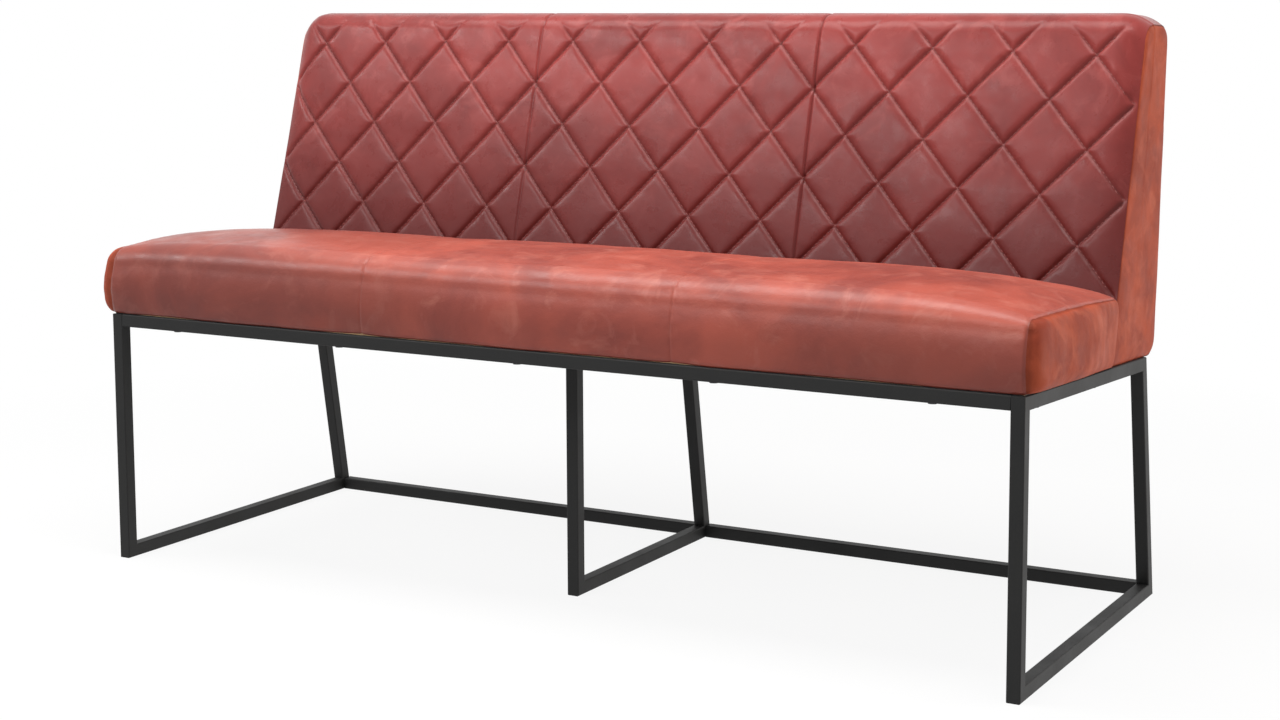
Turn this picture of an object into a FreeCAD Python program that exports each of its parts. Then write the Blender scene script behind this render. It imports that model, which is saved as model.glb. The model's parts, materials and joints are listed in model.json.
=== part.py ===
import FreeCAD, Part
import math
import os

os.makedirs("parts", exist_ok=True)

Vector = FreeCAD.Vector

# Steel frame, in mm, with the front legs' front faces at y = 0 and the floor at z = 0
frame_width = 1550.0
frame_height = 405.0
rear_drop = 28.0
runner_length = 596.0
rear_leg_rake = 62.0
middle_leg_setback = 160.0
tube_size = 20.0
tube_wall = 1.5
tube_corner = 2.0

# Seat, in the tilted frame whose floor is the top of the steel frame
seat_thickness = 127.0
seat_end_drop = 27.0
seat_roll = 42.0
seat_end_roll_drop = 24.0
seat_front_bulge = 6.0
seat_top_rise = 14.0
seat_end_rise_drop = 12.0
seat_crown_power = 9.0
seat_station_shares = (0.0, 0.6, 0.76, 0.86, 0.94, 1.0)
end_panel_bulge = 15.0
end_panel_inset = 22.0
end_panel_shoulder_share = 0.7
end_panel_shoulder_inset_share = 0.25
leather = 2.0
seat_wrap = 3.0
base_board_height = 40.0
base_board_width = 30.0
dust_cover_thickness = 1.0
webbing_width = 60.0
webbing_thickness = 1.5
webbing_count = 9
soft_clearance = 0.3

# Back
back_side_inset = 5.0
back_overhang = 47.0
back_height = 508.0
back_foot_depth = 214.0
back_recline = 12.0
back_rear_lean = 0.9
back_front_roll = 38.0
back_rear_roll = 25.0
back_foot_roll = 30.0
back_edge_round = 16.0
back_edge_run = 42.0
back_edge_run_shares = (0.0, 0.25, 0.6, 1.0)
back_edge_drop_shares = (1.0, 0.45, 0.1, 0.0)
quilt_thickness = 14.0
quilt_columns = 12
quilt_row_pitch = 71.0
quilt_top_margin = 52.0
quilt_foot = 60.0
channel_depth = 5.5
channel_width = 10.0
rear_seam_below_roll = 5.0
post_width = 45.0
back_board_height = 45.0
back_panel_thickness = 6.0
back_foam_thickness = 45.0

# Screws
screw_diameter = 6.0
screw_head_diameter = 12.0
screw_head_height = 1.6
screw_bite = 24.0
screw_clearance = 0.25
screw_end_margin = 130.0
front_screw_count = 5
side_screw_inset = 60.0

# One overrun serves all cuts
overrun = 5.0

half_width = frame_width / 2
slope = math.degrees(math.atan2(rear_drop, runner_length - rear_leg_rake))
tilt = FreeCAD.Placement(Vector(0, 0, frame_height), FreeCAD.Rotation(Vector(1, 0, 0), -slope))
top_length = math.hypot(rear_drop, runner_length - rear_leg_rake)
seat_width = frame_width
seat_depth = top_length + back_overhang - back_foot_depth
back_width = frame_width - 2 * back_side_inset
rear_seam_height = back_height - back_edge_round - back_rear_roll - rear_seam_below_roll
pieces = {}


def settle(shape):
    """Puts a shape drawn in the tilted frame into the room."""
    placed = shape.copy()
    placed.Placement = tilt.multiply(placed.Placement)
    return placed


def box(low, high):
    return Part.makeBox(high[0] - low[0], high[1] - low[1], high[2] - low[2], Vector(*low))


def cylinder(radius, foot, top):
    return Part.makeCylinder(radius, top[2] - foot[2], Vector(*foot), Vector(0, 0, 1))


# Square tube
def rounded_square(size, corner):
    half = size / 2
    flat = half - corner
    bend = corner * math.sqrt(0.5)
    edges = []
    for turn in range(4):
        angle = math.pi / 2 * turn

        def spot(across, along):
            return Vector(across * math.cos(angle) - along * math.sin(angle),
                          across * math.sin(angle) + along * math.cos(angle), 0)

        edges.append(Part.LineSegment(spot(half, -flat), spot(half, flat)).toShape())
        edges.append(Part.Arc(spot(half, flat), spot(flat + bend, flat + bend), spot(flat, half)).toShape())
    return Part.Wire(edges)


def tube_between(start, end):
    outside = rounded_square(tube_size, tube_corner)
    inside = rounded_square(tube_size - 2 * tube_wall, max(tube_corner - tube_wall, tube_corner / 4))
    run = end - start
    length = Vector(0, 0, run.Length)
    solid = Part.Face(outside).extrude(length).cut(Part.Face(inside).extrude(length))
    solid.Placement = FreeCAD.Placement(start, FreeCAD.Rotation(Vector(0, 0, 1), run))
    return solid


def inner_corner(before, at, after):
    """Corner of the outline set in by one tube, where the mitre ends."""
    first = (at - before).normalize()
    second = (after - at).normalize()
    turn = first.cross(second).x
    lean = first.dot(second)
    return at + (second - first) * (tube_size / abs(turn)) if lean < 1 else at


def loop_member(outline, index, centre_x):
    """One mitred tube of a closed outline in the YZ plane."""
    count = len(outline)
    outer = [outline[index], outline[(index + 1) % count]]
    inner = []
    for place in (index, index + 1):
        inner.append(inner_corner(outline[place - 1], outline[place % count], outline[(place + 1) % count]))
    along = (outer[1] - outer[0]).normalize()
    side = (inner[0] - outer[0]) - along * (inner[0] - outer[0]).dot(along)
    middle = side * 0.5
    reach = tube_size + overrun
    across = Vector(centre_x, 0, 0)
    tube = tube_between(outer[0] + middle - along * reach + across, outer[1] + middle + along * reach + across)
    start_mitre = inner[0] - outer[0]
    end_mitre = inner[1] - outer[1]
    stretch = overrun / tube_size
    corners = [outer[0] - start_mitre * stretch, outer[1] - end_mitre * stretch,
               inner[1] + end_mitre * stretch, inner[0] + start_mitre * stretch]
    shift = Vector(centre_x - tube_size, 0, 0)
    keep = Part.Face(Part.makePolygon([corner + shift for corner in corners + corners[:1]]))
    return tube.common(keep.extrude(Vector(2 * tube_size, 0, 0)))


top_front = Vector(0, 0, frame_height)
top_rear = Vector(0, runner_length - rear_leg_rake, frame_height - rear_drop)
side_outline = [Vector(0, 0, 0), Vector(0, runner_length, 0), top_rear, top_front]
middle_top = frame_height - middle_leg_setback * rear_drop / (runner_length - rear_leg_rake)
middle_outline = [Vector(0, middle_leg_setback, 0), Vector(0, runner_length, 0), top_rear,
                  Vector(0, middle_leg_setback, middle_top)]
side_centre = half_width - tube_size / 2
member_names = ("floor_runner", "rear_leg", "side_rail", "front_leg")
for side, sign in (("left", -1), ("right", 1)):
    for index, name in enumerate(member_names):
        pieces[name + "_" + side] = loop_member(side_outline, index, sign * side_centre)

under_rails = settle(box((-tube_size, -overrun, -tube_size), (tube_size, top_length + tube_size, tube_size)))
for index, name in enumerate(member_names):
    if name != "side_rail":
        pieces[name + "_middle"] = loop_member(middle_outline, index, 0).cut(under_rails)

# Rails between the side loops, drawn in the tilted frame
inner_half = half_width - tube_size
front_rail_start = tube_size * math.tan(math.radians(slope))
front_rail_centre = front_rail_start + tube_size / 2
rear_rail_centre = top_length - tube_size / 2
rail_level = -tube_size / 2
rails = {
    "front_rail": (Vector(-inner_half, front_rail_centre, rail_level),
                   Vector(inner_half, front_rail_centre, rail_level)),
    "rear_rail": (Vector(-inner_half, rear_rail_centre, rail_level),
                  Vector(inner_half, rear_rail_centre, rail_level)),
    "cross_rail_middle": (Vector(0, front_rail_start + tube_size, rail_level),
                          Vector(0, top_length - tube_size, rail_level)),
}
for name, ends in rails.items():
    pieces[name] = settle(tube_between(*ends))

# Floor stretchers, butted between the runners at their rear ends
stretcher_centre = runner_length - tube_size / 2
for side, sign in (("left", -1), ("right", 1)):
    near = Vector(sign * tube_size / 2, stretcher_centre, tube_size / 2)
    far = Vector(sign * inner_half, stretcher_centre, tube_size / 2)
    pieces["floor_stretcher_" + side] = tube_between(near, far)


# Back's front plane, which the seat's rear follows
recline = math.tan(math.radians(back_recline))
rear_lean = math.tan(math.radians(back_rear_lean))


def section(corners, x):
    """Closed wire at one station from a list of line and arc spans."""
    edges = []
    for span in corners:
        spots = [Vector(x, *point) for point in span]
        if len(spots) == 2:
            edges.append(Part.LineSegment(*spots).toShape())
        else:
            edges.append(Part.Arc(*spots).toShape())
    return Part.Wire(edges)


def seat_section(x, inset, foot, squeeze=0.0):
    """Seat outline at one station, set in by a skin and squeezed in all round for the bulged ends."""
    share = min(abs(x) / (seat_width / 2), 1.0) ** seat_crown_power
    top = seat_thickness - seat_end_drop * share - inset - squeeze
    roll = seat_roll - seat_end_roll_drop * share - inset
    rise = seat_top_rise - seat_end_rise_drop * share
    front = inset + squeeze
    low = foot + squeeze
    bend = roll * (1 - math.sqrt(0.5))
    rear_gap = soft_clearance + inset

    def rear(height):
        return seat_depth - rear_gap + height * recline

    shoulder = top - roll
    front_belly = (front - seat_front_bulge, (low + shoulder) / 2)
    roll_end = (front + roll, top)
    rear_top = (rear(top), top)
    top_middle = ((roll_end[0] + rear_top[0]) / 2, top + rise)
    spans = [
        [(front, low), front_belly, (front, shoulder)],
        [(front, shoulder), (front + bend, top - bend), roll_end],
        [roll_end, top_middle, rear_top],
        [rear_top, (rear(low), low)],
        [(rear(low), low), (front, low)],
    ]
    return section(spans, x)


def stations(limit, shares):
    places = [share * limit for share in shares]
    return [-place for place in reversed(places) if place > 0] + places


def seat_form(limit, inset, foot):
    return Part.makeLoft([seat_section(x, inset, foot) for x in stations(limit, seat_station_shares)], True, True)


seat_outside = seat_form(seat_width / 2, 0, 0)
seat_inside = seat_form(seat_width / 2 + overrun, leather, -overrun)
seat_skin = seat_outside.cut(seat_inside)
seam = seat_width / 6
tall = seat_thickness + back_height
deep = runner_length + seat_depth


def slab(low_x, high_x):
    return box((low_x, -deep, -tall), (high_x, deep, tall))


panel_names = ("left", "middle", "right")
seat_edge = seat_width / 2
for number, name in enumerate(panel_names):
    low_x = -seat_edge + number * 2 * seam
    pieces["seat_cover_" + name] = settle(seat_skin.common(slab(low_x, low_x + 2 * seam)))

for side, sign in (("left", -1), ("right", 1)):
    steps = ((0.0, 0.0), (end_panel_shoulder_share, end_panel_shoulder_inset_share), (1.0, 1.0))
    wires = [seat_section(sign * (seat_edge + out * end_panel_bulge), 0, 0, draw * end_panel_inset)
             for out, draw in steps]
    pieces["seat_end_panel_" + side] = settle(Part.makeLoft(wires, True, True))

# Seat base of boards under the foam
base_front = leather + seat_wrap
base_rear = seat_depth - leather - seat_wrap
base_edge = seat_edge - seat_wrap
base_low = dust_cover_thickness
base_top = base_low + base_board_height
webbing_top = base_top + webbing_thickness
boards = {
    "seat_base_front_board": ((-base_edge, base_front), (base_edge, base_front + base_board_width)),
    "seat_base_rear_board": ((-base_edge, base_rear - base_board_width), (base_edge, base_rear)),
}
inner_boards = {
    "seat_base_left_board": -base_edge + base_board_width / 2,
    "seat_base_middle_board": 0.0,
    "seat_base_right_board": base_edge - base_board_width / 2,
}
for name, centre in inner_boards.items():
    boards[name] = ((centre - base_board_width / 2, base_front + base_board_width),
                    (centre + base_board_width / 2, base_rear - base_board_width))
board_shapes = {}
for name, (low, high) in boards.items():
    board_shapes[name] = box((low[0], low[1], base_low), (high[0], high[1], base_top))
dust_cover = box((-base_edge, base_front, 0), (base_edge, base_rear, dust_cover_thickness))
webbing = []
webbing_step = (2 * base_edge - webbing_width) / (webbing_count - 1)
for number in range(webbing_count):
    low_x = -base_edge + number * webbing_step
    webbing.append(box((low_x, base_front, base_top), (low_x + webbing_width, base_rear, webbing_top)))
pieces["seat_webbing"] = settle(Part.makeCompound(webbing))
base_space = box((-base_edge, base_front, -overrun), (base_edge, base_rear, webbing_top))
seat_foam = seat_inside.common(box((-seat_edge, -deep, 0), (seat_edge, deep, tall))).cut(base_space)
pieces["seat_foam"] = settle(seat_foam)

# Back, drawn in the same tilted frame
back_edge = back_width / 2


def rear_face(height):
    return seat_depth + back_foot_depth + height * rear_lean


def foot_spans(start, skin):
    """Rear face down from a point and round the foot, set in by a skin."""
    roll = back_foot_roll - skin
    foot_start = (rear_face(back_foot_roll) - skin, back_foot_roll)
    foot_end = (foot_start[0] - roll, skin)
    bend = (1 - math.sqrt(0.5)) * roll
    return [[start, foot_start], [foot_start, (foot_start[0] - bend, skin + bend), foot_end]]


def back_section(x, front_skin, rear_skin, foot):
    """Back outline at one station: reclined front, rolled top, rounded foot at the rear."""
    run = (back_edge - abs(x)) / back_edge_run
    drop = 0.0
    for low, high, first, last in zip(back_edge_run_shares, back_edge_run_shares[1:],
                                      back_edge_drop_shares, back_edge_drop_shares[1:]):
        if low <= run <= high:
            drop = back_edge_round * (first + (last - first) * (run - low) / (high - low))
    if run < 0:
        drop = back_edge_round
    top = back_height - drop - front_skin
    front_roll = back_front_roll - front_skin
    rear_roll = back_rear_roll - rear_skin

    def front(height):
        return seat_depth + drop + front_skin + height * recline

    def rear(height):
        return rear_face(height) - rear_skin

    front_start = (front(top - front_roll), top - front_roll)
    front_end = (front(top - front_roll) + front_roll, top)
    rear_start = (rear(top - rear_roll) - rear_roll, top)
    rear_end = (rear(top - rear_roll), top - rear_roll)
    bend = 1 - math.sqrt(0.5)
    spans = [
        [(front(foot), foot), front_start],
        [front_start, (front_start[0] + bend * front_roll, top - bend * front_roll), front_end],
        [front_end, rear_start],
        [rear_start, (rear_end[0] - bend * rear_roll, top - bend * rear_roll), rear_end],
    ]
    spans += foot_spans(rear_end, rear_skin)
    foot_end = spans[-1][-1]
    if foot < foot_end[1]:
        spans.append([foot_end, (foot_end[0], foot)])
    spans.append([(foot_end[0], foot), (front(foot), foot)])
    return section(spans, x)


def back_form(limit, front_skin, rear_skin, foot):
    places = [back_edge - back_edge_run * share for share in reversed(back_edge_run_shares)]
    places = [place for place in places if place < limit] + [limit]
    wires = [back_section(x, front_skin, rear_skin, foot) for x in [-place for place in reversed(places)] + places]
    return Part.makeLoft(wires, True, True)


skin_edge = back_edge - leather
back_outside = back_form(skin_edge, 0, 0, 0)
back_inside = back_form(skin_edge + overrun, quilt_thickness, leather, -overrun)
back_skin = back_outside.cut(back_inside)
for side, sign in (("left", -1), ("right", 1)):
    wires = [back_section(sign * place, 0, 0, 0) for place in (skin_edge, back_edge)]
    pieces["back_side_panel_" + side] = settle(Part.makeLoft(wires, True, True))

# Zone in which the skin belongs to the plain rear cover
rear_start = seat_depth + back_foot_depth - 2 * back_foot_roll
rear_zone = box((-back_edge, rear_start, -tall), (back_edge, deep, rear_seam_height))
front_skin_solid = back_skin.cut(rear_zone)
outside_spans = foot_spans((rear_face(rear_seam_height), rear_seam_height), 0)
inside_spans = foot_spans((rear_face(rear_seam_height) - leather, rear_seam_height), leather)
inside_spans = [span[::-1] for span in inside_spans[::-1]]
rear_outline = outside_spans + [[outside_spans[-1][-1], inside_spans[0][0]]] + inside_spans
rear_outline.append([inside_spans[-1][-1], outside_spans[0][0]])
rear_sheet = Part.Face(section(rear_outline, -skin_edge))
pieces["back_rear_cover"] = settle(rear_sheet.extrude(Vector(2 * skin_edge, 0, 0)))

# Diamond channels, stitched along two families of straight lines on the front plane
plane_angle = math.radians(back_recline)
plane_up = Vector(0, math.sin(plane_angle), math.cos(plane_angle))
plane_out = Vector(0, -math.cos(plane_angle), math.sin(plane_angle))
slant_height = back_height / math.cos(plane_angle)
column_pitch = back_width / quilt_columns
even_row = slant_height - quilt_top_margin - quilt_row_pitch
flare = (channel_depth + overrun) / channel_depth * channel_width / 2


def channel(column, sign):
    """One straight V groove through a vertex of the even row."""
    lean = sign * column_pitch / 2 / quilt_row_pitch
    ends = []
    for height in (quilt_foot, slant_height):
        across = column * column_pitch + (height - even_row) * lean
        ends.append(Vector(across, seat_depth, 0) + plane_up * height)
    run = ends[1] - ends[0]
    side = run.cross(plane_out).normalize() * flare
    lift = plane_out * overrun
    apex = ends[0] - plane_out * channel_depth
    groove = Part.makePolygon([apex, ends[0] + side + lift, ends[0] - side + lift, apex])
    return Part.Face(groove).extrude(run), sorted((ends[0].x, ends[1].x))


spare_columns = math.ceil(slant_height / quilt_row_pitch / 2)
channels = []
for column in range(-quilt_columns // 2 - spare_columns, quilt_columns // 2 + spare_columns + 1):
    for sign in (-1, 1):
        channels.append(channel(column, sign))

back_seam = back_width / 6
for number, name in enumerate(panel_names):
    low_x = max(-back_edge + number * 2 * back_seam, -back_edge + leather)
    high_x = min(-back_edge + (number + 1) * 2 * back_seam, back_edge - leather)
    panel = front_skin_solid.common(slab(low_x, high_x))
    near = [groove for groove, reach in channels if reach[1] > low_x - flare and reach[0] < high_x + flare]
    pieces["back_cover_" + name] = settle(panel.cut(near))

# Inside of the back: foam in front, a plywood panel, then posts and boards
core = back_form(back_edge - leather, quilt_thickness, leather, 0)


def behind_front(distance, reach):
    """Slanted block from a distance behind the back's front plane."""
    start = Vector(-back_edge - overrun, seat_depth, 0) - plane_out * distance - plane_up * slant_height
    corners = [start, start - plane_out * reach]
    corners += [corners[1] + plane_up * slant_height * 3, start + plane_up * slant_height * 3]
    face = Part.Face(Part.makePolygon(corners + corners[:1]))
    return face.extrude(Vector(2 * (back_edge + overrun), 0, 0))


foam_rear = quilt_thickness + back_foam_thickness
panel_rear = foam_rear + back_panel_thickness
core_reach = back_foot_depth + slant_height
pieces["back_foam"] = settle(core.common(behind_front(0, foam_rear)))
pieces["back_panel"] = settle(core.common(behind_front(foam_rear, back_panel_thickness)))
timber = core.common(behind_front(panel_rear, core_reach))
post_places = {"left": -back_edge + leather + post_width / 2, "middle": 0.0,
               "right": back_edge - leather - post_width / 2}
for name, centre in post_places.items():
    pieces["back_post_" + name] = settle(timber.common(slab(centre - post_width / 2, centre + post_width / 2)))
bay_edges = (post_places["left"] + post_width / 2, -post_width / 2, post_width / 2,
             post_places["right"] - post_width / 2)
board_top = back_height - back_edge_round - quilt_thickness
levels = {"bottom": (-overrun, back_board_height), "top": (board_top - back_board_height, tall)}
back_boards = {}
for name, (low, high) in levels.items():
    for side, start in (("left", 0), ("right", 2)):
        bay = box((bay_edges[start], -deep, low), (bay_edges[start + 1], deep, high))
        back_boards["back_" + name + "_board_" + side] = timber.common(bay)

# Screws from below through the rails into the boards
front_screw_step = (frame_width - 2 * screw_end_margin) / (front_screw_count - 1)
front_row = [(-half_width + screw_end_margin + number * front_screw_step, front_rail_centre)
             for number in range(front_screw_count)]
rear_row = [(place, rear_rail_centre) for place, ignored in front_row]
side_row = [(sign * (half_width - tube_size / 2), middle_y) for sign in (-1, 1)
            for middle_y in (side_screw_inset + base_front, base_rear - side_screw_inset)]


def screws_at(spots):
    solids = []
    for x, y in spots:
        head = cylinder(screw_head_diameter / 2, (x, y, -tube_size - screw_head_height), (x, y, -tube_size))
        shank = cylinder(screw_diameter / 2, (x, y, -tube_size), (x, y, screw_bite))
        solids.append(head.fuse(shank).removeSplitter())
    return solids


def screw_holes(spots):
    radius = screw_diameter / 2 + screw_clearance
    return [cylinder(radius, (x, y, -tube_size - overrun), (x, y, screw_bite + screw_clearance)) for x, y in spots]


rear_spots = [spot for spot in rear_row if abs(spot[0]) > post_width]
front_spots = [spot for spot in front_row]
all_holes = screw_holes(front_spots + rear_spots + side_row)
placed_holes = [settle(hole) for hole in all_holes]
pieces["front_screws"] = settle(Part.makeCompound(screws_at(front_spots)))
pieces["rear_screws"] = settle(Part.makeCompound(screws_at(rear_spots)))
pieces["side_screws"] = settle(Part.makeCompound(screws_at(side_row)))
for name in ("front_rail", "rear_rail", "side_rail_left", "side_rail_right"):
    pieces[name] = pieces[name].cut(placed_holes)
for name, shape in list(board_shapes.items()) + list(back_boards.items()) + [("seat_dust_cover", dust_cover)]:
    pieces[name] = settle(shape.cut(all_holes))

# Centre the part over its own footprint and write each node
bounds = FreeCAD.BoundBox()
for shape in pieces.values():
    bounds.add(shape.optimalBoundingBox(True, False))
for name in sorted(pieces):
    shape = pieces[name].copy()
    shape.translate(Vector(0, -(bounds.YMin + bounds.YMax) / 2, 0))
    shape.exportStep("parts/" + name + ".step")
    print(name, shape.isValid(), len(shape.Solids), round(shape.Volume), shape.BoundBox)
print("bounds", bounds)
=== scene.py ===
import json
import math

import bpy
import numpy as np
from mathutils import Matrix, Vector, noise


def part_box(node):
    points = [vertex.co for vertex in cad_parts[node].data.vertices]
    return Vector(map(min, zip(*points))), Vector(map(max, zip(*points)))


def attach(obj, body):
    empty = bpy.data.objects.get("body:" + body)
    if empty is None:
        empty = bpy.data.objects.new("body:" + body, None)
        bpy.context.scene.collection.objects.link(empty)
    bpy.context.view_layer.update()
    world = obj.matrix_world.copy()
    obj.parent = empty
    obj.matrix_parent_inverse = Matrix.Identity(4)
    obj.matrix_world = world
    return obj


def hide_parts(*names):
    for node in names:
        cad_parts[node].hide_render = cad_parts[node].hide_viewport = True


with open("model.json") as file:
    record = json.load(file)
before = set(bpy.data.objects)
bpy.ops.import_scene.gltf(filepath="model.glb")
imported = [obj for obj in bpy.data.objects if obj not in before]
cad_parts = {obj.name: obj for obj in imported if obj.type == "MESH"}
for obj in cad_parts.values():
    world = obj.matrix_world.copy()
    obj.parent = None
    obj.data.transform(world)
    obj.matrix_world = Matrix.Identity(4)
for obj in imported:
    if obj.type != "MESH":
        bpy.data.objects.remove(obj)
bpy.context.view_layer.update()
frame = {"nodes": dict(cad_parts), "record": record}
nodes = frame["nodes"]

# Sizes of the upholstery, in metres, as in the part's source
frame_width = 1.550
frame_height = 0.405
rear_drop = 0.028
top_run = 0.534
seat_thickness = 0.127
seat_roll = 0.042
seat_front_bulge = 0.006
seat_top_rise = 0.014
seat_crown_power = 9.0
back_side_inset = 0.005
back_overhang = 0.047
back_foot_depth = 0.214
back_height = 0.508
back_recline = math.tan(math.radians(12.0))
back_rear_lean = math.tan(math.radians(0.9))
back_front_roll = 0.038
back_rear_roll = 0.025
back_foot_roll = 0.030
back_edge_round = 0.016
back_edge_run = 0.042
quilt_columns = 12
quilt_row_pitch = 0.071
quilt_top_margin = 0.052

# How the seat falls away at its ends, the left one fuller, and how the back's edges round off
right_end = {"drop": 0.027, "roll_drop": 0.024, "rise_drop": 0.012, "bulge": 0.021, "front_run": 0.030}
left_end = {"drop": 0.018, "roll_drop": 0.012, "rise_drop": 0.000, "bulge": 0.025, "front_run": 0.014}
back_edge_power = 2.2

slope = math.atan2(rear_drop, top_run)
top_length = math.hypot(rear_drop, top_run)
seat_depth = top_length + back_overhang - back_foot_depth
seat_half = frame_width / 2
back_half = frame_width / 2 - back_side_inset
slant_factor = math.sqrt(1 + back_recline ** 2)
front_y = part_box("front_leg_left")[0][1]

# Depths of the materials' fine relief, and how the leather roughens, is grained and is darkened by painted
# shade in folds and towards the foot of the quilted back
slack_relief = 0.0016
crease_relief = 0.0006
pebble_relief = 0.0004
coat_relief = 0.0003
ring_relief = 0.0005
weave_relief = 0.0004
twist_relief = 0.0002
pore_relief = 0.0006
# Painted shade on the quilted back: darkest at its foot, where less light reaches, and gone at its top
# level
quilt_foot_level = 0.52
quilt_top_level = 0.80
foot_shade_darkness = 0.5
fold_shade_darkness = 0.42
smoother_spots = 0.06
rougher_spots = 0.1
pebble_share = 0.75


# Node helpers
def set_inputs(tree, made, inputs):
    """Links or sets a node's inputs, given by name or number."""
    for name, value in inputs.items():
        if isinstance(value, bpy.types.NodeSocket):
            tree.links.new(value, made.inputs[name])
        else:
            made.inputs[name].default_value = value


def node(tree, kind, inputs=None, **settings):
    made = tree.nodes.new(kind)
    for name, value in settings.items():
        setattr(made, name, value)
    set_inputs(tree, made, inputs or {})
    return made


def new_material(name):
    """Empty material, with its node tree, its shader and the places on the object."""
    material = bpy.data.materials.new(name)
    material.use_nodes = True
    tree = material.node_tree
    tree.nodes.clear()
    output = node(tree, "ShaderNodeOutputMaterial")
    shader = node(tree, "ShaderNodeBsdfPrincipled")
    tree.links.new(shader.outputs["BSDF"], output.inputs["Surface"])
    place = node(tree, "ShaderNodeTexCoord").outputs["Object"]
    return material, tree, shader, place


def noise_value(tree, place, scale, detail, rough=0.5, distort=0.0):
    made = node(tree, "ShaderNodeTexNoise", {"Vector": place, "Scale": scale, "Detail": detail,
                                             "Roughness": rough, "Distortion": distort})
    return made.outputs["Fac"]


def wave_value(tree, place, way, inputs):
    return node(tree, "ShaderNodeTexWave", {"Vector": place, **inputs}, bands_direction=way).outputs["Fac"]


def remap(tree, value, span, onto):
    """Maps a span of values onto another."""
    made = node(tree, "ShaderNodeMapRange", {"Value": value, "From Min": span[0], "From Max": span[1],
                                             "To Min": onto[0], "To Max": onto[1]})
    return made.outputs["Result"]


def blend_colour(tree, factor, first, second):
    made = node(tree, "ShaderNodeMix", data_type="RGBA")
    set_inputs(tree, made, {0: factor, 6: first, 7: second})
    return made.outputs[2]


def math_node(tree, operation, first, second):
    return node(tree, "ShaderNodeMath", {0: first, 1: second}, operation=operation).outputs[0]


def bump(tree, height, strength, distance, normal=None):
    made = node(tree, "ShaderNodeBump", {"Height": height, "Strength": strength, "Distance": distance})
    if normal is not None:
        set_inputs(tree, made, {"Normal": normal})
    return made.outputs["Normal"]


def darker(colour, share):
    return [channel * share for channel in colour[:3]] + [1.0]


def seen_directly(tree):
    """One for camera, mirror and see-through rays, nought for the rest."""
    path = node(tree, "ShaderNodeLightPath")
    seen = math_node(tree, "MAXIMUM", path.outputs["Is Camera Ray"], path.outputs["Is Glossy Ray"])
    return math_node(tree, "MAXIMUM", seen, path.outputs["Is Transmission Ray"])


# Materials
def leather(name, base, dark, rubbed, rough, gloss, sheen, cloud_scale, slack, grain, foot_painted_shade=0.0):
    """Waxed leather: clouded colour, rubbed high spots that are partly a painted highlight, painted shade
    in folds and seams and towards a foot, pebble grain and fine creases.
    """
    material, tree, shader, place = new_material(name)
    clouds = noise_value(tree, place, scale=cloud_scale, detail=6.0, rough=0.6, distort=0.5)
    streaks = noise_value(tree, place, scale=21.0, detail=6.0, rough=0.62, distort=0.8)
    colour = blend_colour(tree, remap(tree, clouds, (0.38, 0.60), (0.0, 1.0)), dark, base)
    colour = blend_colour(tree, remap(tree, streaks, (0.52, 0.75), (0.0, 0.55)), colour, rubbed)
    # Painted shade, darker towards the foot of the piece
    if foot_painted_shade > 0:
        level = node(tree, "ShaderNodeSeparateXYZ", {"Vector": place}).outputs["Z"]
        foot_shade_share = remap(tree, level, (quilt_foot_level, quilt_top_level), (foot_painted_shade, 0.0))
        colour = blend_colour(tree, foot_shade_share, colour, darker(dark, foot_shade_darkness))
    tone = node(tree, "ShaderNodeAttribute", attribute_name="tone").outputs["Fac"]
    uneven = noise_value(tree, place, scale=48.0, detail=4.0, rough=0.6)
    # Lighter rubbed colour on high spots: along the seat's roll partly a painted highlight
    high = math_node(tree, "MULTIPLY", remap(tree, tone, (0.62, 1.0), (0.0, 0.75)), uneven)
    colour = blend_colour(tree, high, colour, rubbed)
    # Painted shade in folds, seams and channels, where the tone falls below plain
    low = remap(tree, tone, (0.0, 0.42), (0.62, 0.0))
    colour = blend_colour(tree, low, colour, darker(dark, fold_shade_darkness))
    patch = noise_value(tree, place, scale=30.0, detail=4.0, rough=0.6)
    pebble = node(tree, "ShaderNodeTexVoronoi", {"Vector": place, "Scale": 520.0, "Randomness": 1.0},
                  feature="SMOOTH_F1").outputs["Distance"]
    creases = noise_value(tree, place, scale=150.0, detail=5.0, rough=0.6, distort=0.6)
    soft = noise_value(tree, place, scale=34.0, detail=3.0, rough=0.5, distort=0.3)
    normal = bump(tree, soft, slack, slack_relief)
    normal = bump(tree, creases, grain, crease_relief, normal)
    normal = bump(tree, pebble, grain * pebble_share, pebble_relief, normal)
    set_inputs(tree, shader, {
        "Base Color": colour,
        "Roughness": remap(tree, patch, (0.3, 0.7), (rough - smoother_spots, rough + rougher_spots)),
        "Specular IOR Level": gloss,
        "Sheen Weight": sheen,
        "Sheen Roughness": 0.4,
        "Normal": normal,
    })
    return material


def powder_coat():
    material, tree, shader, place = new_material("black_powder_coat")
    clouds = noise_value(tree, place, scale=14.0, detail=4.0, rough=0.6)
    speck = noise_value(tree, place, scale=900.0, detail=2.0)
    colour = blend_colour(tree, remap(tree, clouds, (0.35, 0.7), (0.0, 1.0)),
                          (0.007, 0.007, 0.007, 1.0), (0.012, 0.0118, 0.0115, 1.0))
    colour = blend_colour(tree, remap(tree, speck, (0.55, 0.8), (0.0, 0.3)),
                          colour, (0.034, 0.033, 0.031, 1.0))
    fine = noise_value(tree, place, scale=1500.0, detail=2.0)
    set_inputs(tree, shader, {
        "Base Color": colour,
        "Roughness": remap(tree, clouds, (0.3, 0.7), (0.50, 0.62)),
        "Specular IOR Level": 0.3,
        "Normal": bump(tree, fine, 0.18, coat_relief),
    })
    return material


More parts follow.
